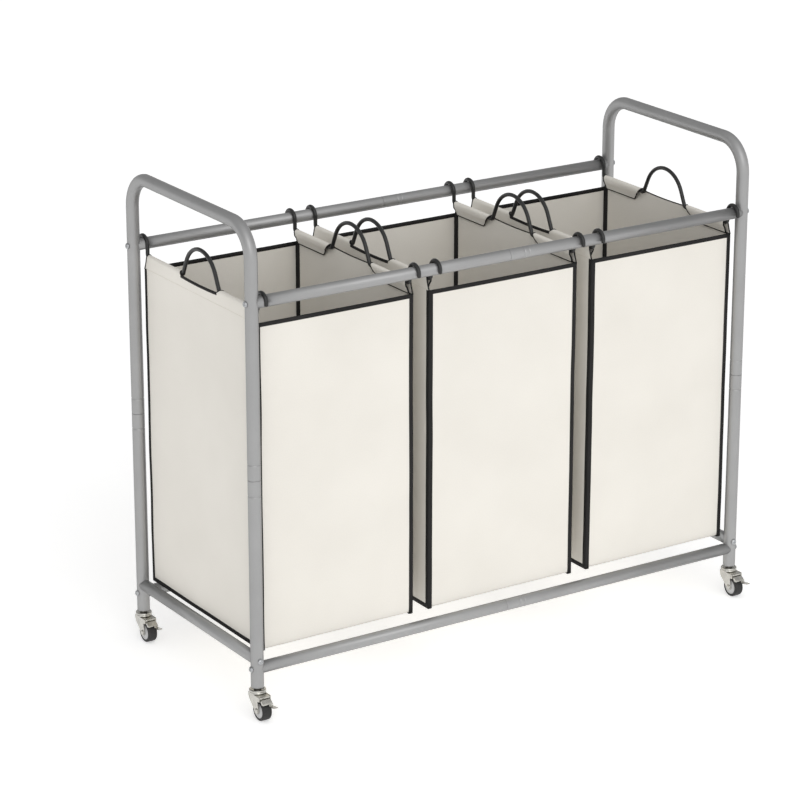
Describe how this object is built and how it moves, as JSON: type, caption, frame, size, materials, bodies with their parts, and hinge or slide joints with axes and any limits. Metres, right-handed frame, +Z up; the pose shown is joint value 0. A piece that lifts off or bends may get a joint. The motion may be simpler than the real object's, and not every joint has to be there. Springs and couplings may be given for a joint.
{
  "type": "laundry cart",
  "caption": "Rolling laundry sorter cart: tubular steel frame with end push bars, lift-off fabric bags hung side by side on wire rods with carrying arches, and swivel casters with brakes.",
  "frame": {"origin": "on the floor, at the centre of the overall box", "axes": "+X along the cart to the right end, +Y towards the rear, +Z up; the brake pedals face -Y"},
  "size_m": [1.0201, 0.4596, 0.85],
  "materials": {
    "tube_paint": "silver-grey metallic paint, satin",
    "bolt_steel": "zinc-plated domed heads",
    "caster_nickel": "bright nickel plate on pressed steel",
    "wheel_tyre": "matt black tread with a grey hub",
    "canvas": "cream plain-weave polyester with black binding",
    "rod_wire": "black powder-coated wire"
  },
  "bodies": {
    "frame": {"handle_tube_left": "tube_paint", "side_rail_left": "tube_paint", "handle_tube_right": "tube_paint", "side_rail_right": "tube_paint", "lower_leg_front_left": "tube_paint", "top_rail_front_left": "tube_paint", "bottom_rail_front_left": "tube_paint", "top_bolt_front_left": "bolt_steel", "long_bolt_front_left": "bolt_steel", "side_bolt_front_left": "bolt_steel", "caster_stem_front_left": "caster_nickel", "lower_leg_front_right": "tube_paint", "top_rail_front_right": "tube_paint", "bottom_rail_front_right": "tube_paint", "top_bolt_front_right": "bolt_steel", "long_bolt_front_right": "bolt_steel", "side_bolt_front_right": "bolt_steel", "caster_stem_front_right": "caster_nickel", "lower_leg_rear_left": "tube_paint", "top_rail_rear_left": "tube_paint", "bottom_rail_rear_left": "tube_paint", "top_bolt_rear_left": "bolt_steel", "long_bolt_rear_left": "bolt_steel", "side_bolt_rear_left": "bolt_steel", "caster_stem_rear_left": "caster_nickel", "lower_leg_rear_right": "tube_paint", "top_rail_rear_right": "tube_paint", "bottom_rail_rear_right": "tube_paint", "top_bolt_rear_right": "bolt_steel", "long_bolt_rear_right": "bolt_steel", "side_bolt_rear_right": "bolt_steel", "caster_stem_rear_right": "caster_nickel"},
    "caster_front_left": {"caster_fork_front_left": "caster_nickel", "wheel_axle_front_left": "caster_nickel"},
    "wheel_front_left": {"wheel_front_left": "wheel_tyre"},
    "brake_front_left": {"brake_lever_front_left": "caster_nickel"},
    "caster_front_right": {"caster_fork_front_right": "caster_nickel", "wheel_axle_front_right": "caster_nickel"},
    "wheel_front_right": {"wheel_front_right": "wheel_tyre"},
    "brake_front_right": {"brake_lever_front_right": "caster_nickel"},
    "caster_rear_left": {"caster_fork_rear_left": "caster_nickel", "wheel_axle_rear_left": "caster_nickel"},
    "wheel_rear_left": {"wheel_rear_left": "wheel_tyre"},
    "brake_rear_left": {"brake_lever_rear_left": "caster_nickel"},
    "caster_rear_right": {"caster_fork_rear_right": "caster_nickel", "wheel_axle_rear_right": "caster_nickel"},
    "wheel_rear_right": {"wheel_rear_right": "wheel_tyre"},
    "brake_rear_right": {"brake_lever_rear_right": "caster_nickel"},
    "bag_left": {"bag_left_fabric": "canvas", "bag_left_rod_left": "rod_wire", "bag_left_rod_right": "rod_wire"},
    "bag_middle": {"bag_middle_fabric": "canvas", "bag_middle_rod_left": "rod_wire", "bag_middle_rod_right": "rod_wire"},
    "bag_right": {"bag_right_fabric": "canvas", "bag_right_rod_left": "rod_wire", "bag_right_rod_right": "rod_wire"}
  },
  "joints": [
    {"name": "swivel_front_left", "type": "hinge", "parent": "frame", "child": "caster_front_left", "pos_m": [-0.494, -0.17885, 0.05], "axis": [0, 0, 1], "continuous": true},
    {"name": "wheel_spin_front_left", "type": "hinge", "parent": "caster_front_left", "child": "wheel_front_left", "pos_m": [-0.494, -0.19385, 0.018], "axis": [1, 0, 0], "continuous": true},
    {"name": "brake_press_front_left", "type": "hinge", "parent": "caster_front_left", "child": "brake_front_left", "pos_m": [-0.494, -0.19985, 0.0385], "axis": [1, 0, 0], "range_deg": [0, 6]},
    {"name": "swivel_front_right", "type": "hinge", "parent": "frame", "child": "caster_front_right", "pos_m": [0.494, -0.17885, 0.05], "axis": [0, 0, 1], "continuous": true},
    {"name": "wheel_spin_front_right", "type": "hinge", "parent": "caster_front_right", "child": "wheel_front_right", "pos_m": [0.494, -0.19385, 0.018], "axis": [1, 0, 0], "continuous": true},
    {"name": "brake_press_front_right", "type": "hinge", "parent": "caster_front_right", "child": "brake_front_right", "pos_m": [0.494, -0.19985, 0.0385], "axis": [1, 0, 0], "range_deg": [0, 6]},
    {"name": "swivel_rear_left", "type": "hinge", "parent": "frame", "child": "caster_rear_left", "pos_m": [-0.494, 0.21235, 0.05], "axis": [0, 0, 1], "continuous": true},
    {"name": "wheel_spin_rear_left", "type": "hinge", "parent": "caster_rear_left", "child": "wheel_rear_left", "pos_m": [-0.494, 0.19735, 0.018], "axis": [1, 0, 0], "continuous": true},
    {"name": "brake_press_rear_left", "type": "hinge", "parent": "caster_rear_left", "child": "brake_rear_left", "pos_m": [-0.494, 0.19135, 0.0385], "axis": [1, 0, 0], "range_deg": [0, 6]},
    {"name": "swivel_rear_right", "type": "hinge", "parent": "frame", "child": "caster_rear_right", "pos_m": [0.494, 0.21235, 0.05], "axis": [0, 0, 1], "continuous": true},
    {"name": "wheel_spin_rear_right", "type": "hinge", "parent": "caster_rear_right", "child": "wheel_rear_right", "pos_m": [0.494, 0.19735, 0.018], "axis": [1, 0, 0], "continuous": true},
    {"name": "brake_press_rear_right", "type": "hinge", "parent": "caster_rear_right", "child": "brake_rear_right", "pos_m": [0.494, 0.19135, 0.0385], "axis": [1, 0, 0], "range_deg": [0, 6]},
    {"name": "lift_bag_left", "type": "slide", "parent": "frame", "child": "bag_left", "axis": [0, 0, 1], "range_m": [0, 0.65]},
    {"name": "lift_bag_middle", "type": "slide", "parent": "frame", "child": "bag_middle", "axis": [0, 0, 1], "range_m": [0, 0.65]},
    {"name": "lift_bag_right", "type": "slide", "parent": "frame", "child": "bag_right", "axis": [0, 0, 1], "range_m": [0, 0.65]}
  ]
}
